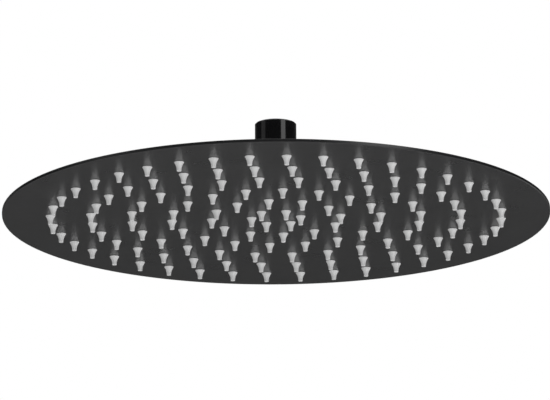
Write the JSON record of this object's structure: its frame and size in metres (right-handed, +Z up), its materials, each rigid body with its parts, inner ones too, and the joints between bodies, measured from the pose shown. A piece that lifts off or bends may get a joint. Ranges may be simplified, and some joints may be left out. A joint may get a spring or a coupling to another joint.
{
  "type": "shower head",
  "caption": "Round, very thin overhead rain shower head: a flat black disc with rings of soft pale nozzles, hung from a ball joint with a threaded inlet.",
  "frame": {"origin": "middle of the mouth of the threaded inlet, on the top face of the collar", "axes": "+Z up out of the inlet, along the axis of the head; +X through one nozzle of every ring"},
  "size_m": [0.3, 0.3, 0.058],
  "materials": {
    "face_black": "satin black coating",
    "back_black": "satin black coating",
    "fitting_black": "gloss black coating",
    "silicone": "matt pale grey silicone",
    "seat_plastic": "plain moulded",
    "restrictor_plastic": "plain moulded",
    "seal_rubber": "matt black",
    "wire_cloth": "fine woven wire"
  },
  "bodies": {
    "fitting": {"ball_fitting": "fitting_black", "inlet_washer": "seal_rubber", "filter_screen": "wire_cloth", "flow_restrictor": "restrictor_plastic", "restrictor_o_ring": "seal_rubber"},
    "ball_ring": {"ball_o_ring": "seal_rubber"},
    "head": {"face_plate": "face_black", "back_plate": "back_black", "nozzle_ring_1": "silicone", "nozzle_ring_2": "silicone", "nozzle_ring_3": "silicone", "nozzle_ring_4": "silicone", "nozzle_ring_5": "silicone", "nozzle_ring_6": "silicone", "inlet_boss": "fitting_black", "lower_seat": "seat_plastic", "upper_seat": "seat_plastic", "retaining_nut": "fitting_black"}
  },
  "joints": [
    {"name": "head_swivel", "type": "hinge", "parent": "fitting", "child": "ball_ring", "pos_m": [0, 0, -0.0264], "axis": [0, 0, 1], "continuous": true},
    {"name": "head_tilt", "type": "hinge", "parent": "ball_ring", "child": "head", "pos_m": [0, 0, -0.0264], "axis": [1, 0, 0], "range_deg": [-15, 15]}
  ]
}
